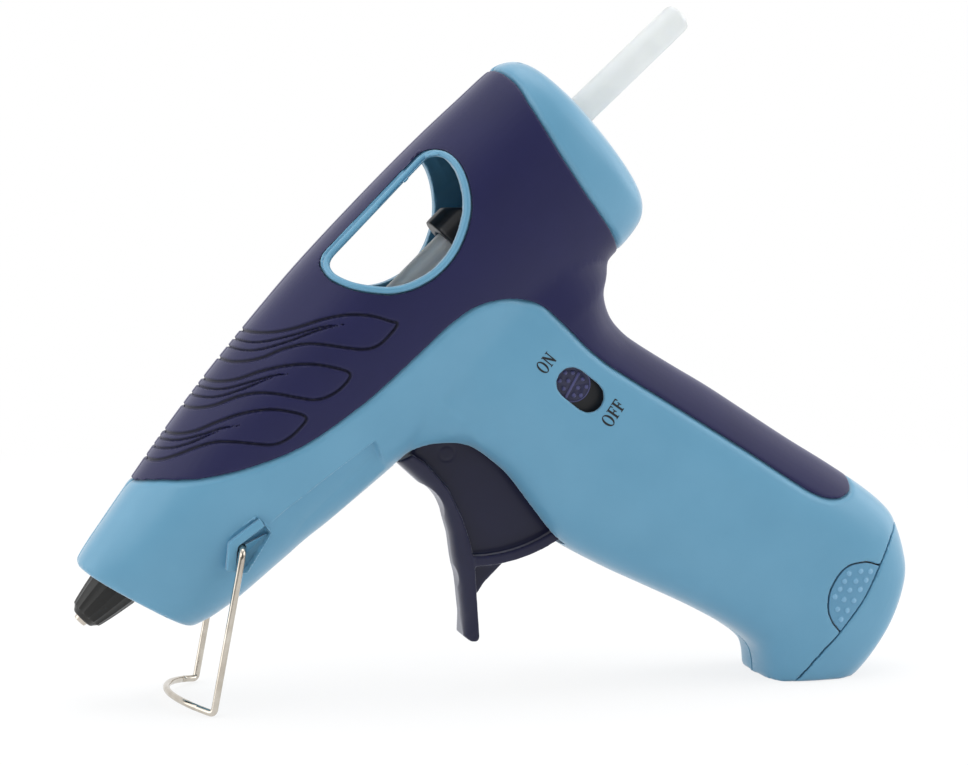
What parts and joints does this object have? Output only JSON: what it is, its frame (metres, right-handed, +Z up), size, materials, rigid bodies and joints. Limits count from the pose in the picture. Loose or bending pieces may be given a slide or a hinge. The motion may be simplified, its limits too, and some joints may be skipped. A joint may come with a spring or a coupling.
{
  "type": "cordless hot glue applicator",
  "caption": "Slim cordless hot glue applicator with a pivoting trigger, a see-through feed window, a wire stand, a slide switch and a battery cap on the grip.",
  "frame": {"origin": "Centre of the bounding box's base, on the surface that the stand and the grip's end cap rest on.", "axes": "X runs from the nozzle to the grip's end cap, Y runs across from the switch side to the screw side, Z is up."},
  "size_m": [0.2022, 0.0432, 0.1641],
  "materials": {
    "blue_plastic": "fine satin moulded plastic",
    "navy_soft_grip": "soft matt moulded skin",
    "navy_plastic": "semi-gloss moulded plastic",
    "black_silicone": "matt silicone",
    "black_plastic": "satin moulded plastic",
    "red_silicone": "matt silicone",
    "nozzle_metal": "plated, turned",
    "chamber_metal": "as cast",
    "heater_ceramic": "fired ceramic",
    "spring_steel": "drawn steel",
    "plated_wire": "nickel plated wire",
    "contact_brass": "stamped sheet",
    "glue": "milky, slightly clear",
    "cell_jacket": "printed-free jacket",
    "red_insulation": "insulated lead",
    "black_insulation": "insulated lead"
  },
  "bodies": {
    "housing": {"shell_left": "blue_plastic", "shell_right": "blue_plastic", "overmould_left": "navy_soft_grip", "overmould_right": "navy_soft_grip", "nozzle": "nozzle_metal", "nozzle_boot": "black_silicone", "check_ball": "spring_steel", "check_spring": "spring_steel", "melt_chamber": "chamber_metal", "heater": "heater_ceramic", "heater_clip": "spring_steel", "stick_sleeve": "red_silicone", "sleeve_clip": "spring_steel", "stick_guide": "black_plastic", "trigger_pin": "spring_steel", "return_spring": "spring_steel", "switch_body": "black_plastic", "lead_switch_to_heater": "red_insulation", "lead_pack_to_switch": "red_insulation", "lead_pack_to_heater": "black_insulation", "cell_1": "cell_jacket", "cell_2": "cell_jacket", "cell_3": "cell_jacket", "cell_4": "cell_jacket", "cell_holder": "black_plastic", "inner_contact_board": "contact_brass", "inner_contact_spring_2": "spring_steel", "inner_contact_spring_3": "spring_steel", "screw_1": "spring_steel", "screw_2": "spring_steel", "screw_3": "spring_steel", "screw_4": "spring_steel", "screw_5": "spring_steel", "screw_6": "spring_steel"},
    "trigger": {"trigger": "navy_plastic"},
    "feed_link": {"feed_link": "spring_steel"},
    "feed_carriage": {"feed_carriage": "black_plastic", "jaw_pin": "spring_steel"},
    "clamp_jaw": {"clamp_jaw": "spring_steel"},
    "glue_stick": {"glue_stick": "glue"},
    "switch_button": {"switch_button": "navy_plastic"},
    "end_cap": {"grip_end_cap": "blue_plastic", "cap_contact_board": "contact_brass", "cap_contact_spring_1": "spring_steel", "cap_contact_spring_4": "spring_steel"},
    "latch_pad_left": {"latch_pad_left": "blue_plastic"},
    "latch_pad_right": {"latch_pad_right": "blue_plastic"},
    "stand": {"stand_bail": "plated_wire"}
  },
  "joints": [
    {"name": "trigger_pivot", "type": "hinge", "parent": "housing", "child": "trigger", "pos_m": [-0.00684, 0, 0.06754], "axis": [0, -1, 0], "range_deg": [0, 21.5], "stiffness_Nm_per_rad": 0.05, "springref_deg": -20.05},
    {"name": "link_pivot", "type": "hinge", "parent": "trigger", "child": "feed_link", "pos_m": [-0.0176, 0, 0.08445], "axis": [0, -1, 0], "range_deg": [-21.5, 0]},
    {"name": "carriage_slide", "type": "slide", "parent": "housing", "child": "feed_carriage", "axis": [-0.7125, 0, -0.7017], "range_m": [0, 0.00747]},
    {"name": "jaw_pivot", "type": "hinge", "parent": "feed_carriage", "child": "clamp_jaw", "pos_m": [-0.00373, 0, 0.10372], "axis": [0, 1, 0], "range_deg": [0, 3]},
    {"name": "stick_slide", "type": "slide", "parent": "housing", "child": "glue_stick", "axis": [0.7125, 0, 0.7017], "range_m": [0, 0.13]},
    {"name": "switch_slide", "type": "slide", "parent": "housing", "child": "switch_button", "axis": [0.7843, 0, -0.6203], "range_m": [0, 0.00534]},
    {"name": "cap_slide", "type": "slide", "parent": "housing", "child": "end_cap", "axis": [0.8665, 0, -0.4991], "range_m": [0, 0.04]},
    {"name": "latch_left_slide", "type": "slide", "parent": "housing", "child": "latch_pad_left", "axis": [0, 1, 0], "range_m": [0, 0.0012], "stiffness_N_per_m": 400, "springref_m": -0.001},
    {"name": "latch_right_slide", "type": "slide", "parent": "housing", "child": "latch_pad_right", "axis": [0, -1, 0], "range_m": [0, 0.0012], "stiffness_N_per_m": 400, "springref_m": -0.001},
    {"name": "stand_pivot", "type": "hinge", "parent": "housing", "child": "stand", "pos_m": [-0.0642, 0, 0.03786], "axis": [0, -1, 0], "range_deg": [0, 115]}
  ],
  "couplings": [
    {"joint": "link_pivot", "follows": "trigger_pivot", "ratio": -1},
    {"joint": "carriage_slide", "follows": "trigger_pivot", "m_per_rad": 0.019888},
    {"joint": "jaw_pivot", "follows": "trigger_pivot", "ratio": 0.12}
  ]
}
